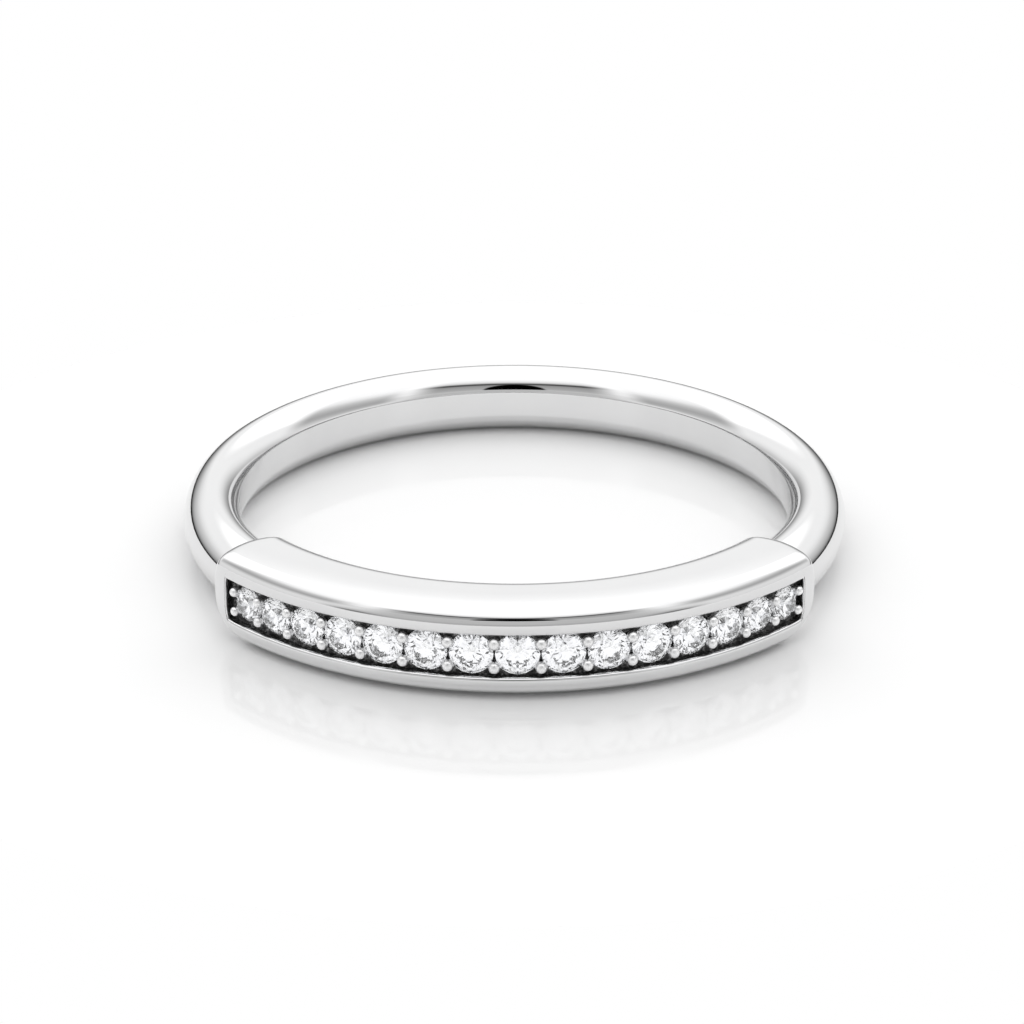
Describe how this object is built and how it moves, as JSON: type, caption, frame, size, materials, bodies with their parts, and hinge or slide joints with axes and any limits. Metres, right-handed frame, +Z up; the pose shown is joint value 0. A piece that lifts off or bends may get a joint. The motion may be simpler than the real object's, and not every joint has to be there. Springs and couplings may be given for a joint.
{
  "type": "band ring",
  "caption": "Band ring with a rounded shank and a thicker curved bar, whose shallow channel holds a row of round cut stones between bead prongs.",
  "frame": {"origin": "centre of the finger hole, at the middle of the shank's height", "axes": "+Z up along the finger hole's axis, with the ring lying on its side; the bar faces -Y"},
  "size_m": [0.0206, 0.0215, 0.0027],
  "materials": {
    "metal": "polished",
    "stone": "polished"
  },
  "bodies": {
    "root": {"band": "metal", "stone_01": "stone", "stone_02": "stone", "stone_03": "stone", "stone_04": "stone", "stone_05": "stone", "stone_06": "stone", "stone_07": "stone", "stone_08": "stone", "stone_09": "stone", "stone_10": "stone", "stone_11": "stone", "stone_12": "stone", "stone_13": "stone", "stone_14": "stone", "stone_15": "stone"}
  },
  "joints": []
}
